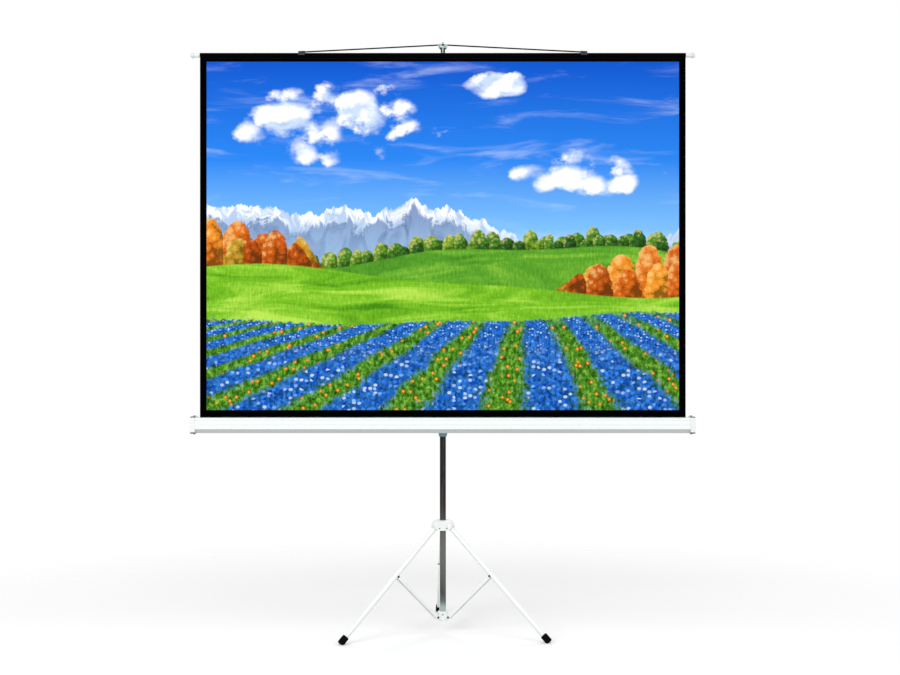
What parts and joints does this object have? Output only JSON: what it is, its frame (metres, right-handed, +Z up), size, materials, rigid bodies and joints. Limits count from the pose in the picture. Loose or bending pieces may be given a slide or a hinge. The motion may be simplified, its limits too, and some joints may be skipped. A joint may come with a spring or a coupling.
{
  "type": "tripod projection screen",
  "caption": "Portable pull-up projection screen: bordered fabric from a spring roller case, hung by a cord from a telescoping square mast on a folding tripod.",
  "frame": {"origin": "centre of the whole part's box, on the floor under the feet", "axes": "+Z up along the mast, +X along the roller case, -Y towards the viewer of the screen"},
  "size_m": [1.826, 0.6688, 2.154],
  "materials": {
    "white_steel": "white stove enamel, satin",
    "plated_mast": "dark bright plating",
    "white_plastic": "moulded white plastic",
    "grey_plastic": "moulded grey plastic",
    "black_plastic": "moulded black plastic",
    "rubber": "black rubber",
    "zinc_steel": "zinc plated",
    "fastener": "dark steel",
    "spring_steel": "spring steel",
    "screen_white": "matte white screen fabric",
    "screen_black": "black printed border",
    "top_bar_steel": "white enamel",
    "cord": "black braided cord"
  },
  "bodies": {
    "stand": {"mast_tube": "plated_mast", "base_collar": "white_plastic", "collar_screw": "fastener", "collar_brace_pins": "fastener", "mast_top_bush": "grey_plastic", "hub_stop_rivet": "fastener"},
    "hub": {"leg_hub": "white_plastic", "hub_leg_pins": "fastener", "hub_grip_spring": "spring_steel"},
    "brace_1": {"brace_1": "white_steel"},
    "leg_1": {"leg_tube_1": "white_steel", "leg_top_1": "white_plastic", "leg_foot_1": "rubber", "brace_rivet_1": "fastener"},
    "brace_2": {"brace_2": "white_steel"},
    "leg_2": {"leg_tube_2": "white_steel", "leg_top_2": "white_plastic", "leg_foot_2": "rubber", "brace_rivet_2": "fastener"},
    "brace_3": {"brace_3": "white_steel"},
    "leg_3": {"leg_tube_3": "white_steel", "leg_top_3": "white_plastic", "leg_foot_3": "rubber", "brace_rivet_3": "fastener"},
    "extension": {"extension_tube": "plated_mast", "extension_glide": "black_plastic", "hook_plug": "grey_plastic", "hook_back_plate": "zinc_steel", "hook_saddle": "zinc_steel", "hook_front_plate": "zinc_steel", "hook_rivets": "fastener"},
    "mast_knob": {"mast_knob": "black_plastic"},
    "slider": {"case_slider": "grey_plastic", "case_pivot_bolt": "fastener", "pivot_washer": "zinc_steel"},
    "slider_knob": {"slider_knob": "black_plastic"},
    "case": {"case_shell": "white_steel", "case_end_cap_left": "white_plastic", "case_end_cap_right": "white_plastic", "end_cap_screws": "fastener", "case_back_plate": "zinc_steel", "back_plate_rivets": "fastener", "spring_shaft": "spring_steel", "spring_anchor": "spring_steel", "roller_spring": "spring_steel", "screen_field": "screen_white", "screen_border": "screen_black"},
    "roller": {"roller_tube": "zinc_steel", "fabric_wrap": "screen_white", "spring_side_plug": "black_plastic", "spring_drive_plug": "black_plastic", "idler_plug": "black_plastic"},
    "bar": {"top_bar": "top_bar_steel", "bar_hem": "screen_black", "top_bar_cap_left": "white_plastic", "top_bar_cap_right": "white_plastic", "cord_eye_left": "black_plastic", "cord_eye_right": "black_plastic", "hanger_cord": "cord"}
  },
  "joints": [
    {"name": "leg_fold", "type": "hinge", "parent": "stand", "child": "brace_1", "pos_m": [-0.00113, -0.0697, 0.058], "axis": [0.9991, 0.0419, 0], "range_deg": [0, 43.3]},
    {"name": "leg_swing_1", "type": "hinge", "parent": "brace_1", "child": "leg_1", "pos_m": [-0.00813, 0.09719, 0.22044], "axis": [-0.9991, -0.0419, 0], "range_deg": [0, 86.6]},
    {"name": "brace_fold_2", "type": "hinge", "parent": "stand", "child": "brace_2", "pos_m": [-0.0228, -0.11115, 0.058], "axis": [-0.5358, 0.8443, 0], "range_deg": [0, 43.3]},
    {"name": "leg_swing_2", "type": "hinge", "parent": "brace_2", "child": "leg_2", "pos_m": [-0.16383, -0.20065, 0.22044], "axis": [0.5358, -0.8443, 0], "range_deg": [0, 86.6]},
    {"name": "brace_fold_3", "type": "hinge", "parent": "stand", "child": "brace_3", "pos_m": [0.02393, -0.10919, 0.058], "axis": [-0.4633, -0.8862, 0], "range_deg": [0, 43.3]},
    {"name": "leg_swing_3", "type": "hinge", "parent": "brace_3", "child": "leg_3", "pos_m": [0.17196, -0.18658, 0.22044], "axis": [0.4633, 0.8862, 0], "range_deg": [0, 86.6]},
    {"name": "hub_level", "type": "hinge", "parent": "leg_1", "child": "hub", "pos_m": [-0.00113, -0.0697, 0.38288], "axis": [0.9991, 0.0419, 0], "range_deg": [0, 43.3]},
    {"name": "screen_lower", "type": "slide", "parent": "case", "child": "bar", "axis": [0, 0, -1], "range_m": [0, 1.2919], "deforming": ["screen_field", "screen_border"]},
    {"name": "mast_extension", "type": "slide", "parent": "stand", "child": "extension", "axis": [0, 0, -1], "range_m": [0, 0.8781]},
    {"name": "case_slide", "type": "slide", "parent": "stand", "child": "slider", "axis": [0, 0, 1], "range_m": [0, 0.414]},
    {"name": "roller_spin", "type": "hinge", "parent": "case", "child": "roller", "pos_m": [0, -0.16668, 0.76], "axis": [-1, 0, 0], "range_deg": [0, 3559]},
    {"name": "case_swing", "type": "hinge", "parent": "slider", "child": "case", "pos_m": [0, -0.13668, 0.76], "axis": [0, 1, 0], "range_deg": [0, 65]},
    {"name": "mast_knob_turn", "type": "hinge", "parent": "stand", "child": "mast_knob", "pos_m": [0, -0.08318, 1.201], "axis": [0, 1, 0], "range_deg": [0, 360]},
    {"name": "slider_knob_turn", "type": "hinge", "parent": "slider", "child": "slider_knob", "pos_m": [0, -0.07768, 0.735], "axis": [0, 1, 0], "range_deg": [0, 360]}
  ],
  "couplings": [
    {"joint": "leg_swing_1", "follows": "leg_fold", "ratio": 2},
    {"joint": "brace_fold_2", "follows": "leg_fold", "ratio": 1},
    {"joint": "leg_swing_2", "follows": "leg_fold", "ratio": 2},
    {"joint": "brace_fold_3", "follows": "leg_fold", "ratio": 1},
    {"joint": "leg_swing_3", "follows": "leg_fold", "ratio": 2},
    {"joint": "hub_level", "follows": "leg_fold", "ratio": 1},
    {"joint": "mast_extension", "follows": "screen_lower", "ratio": 0.67962},
    {"joint": "case_slide", "follows": "screen_lower", "ratio": 0.32038},
    {"joint": "roller_spin", "follows": "screen_lower", "rad_per_m": 48.077}
  ]
}
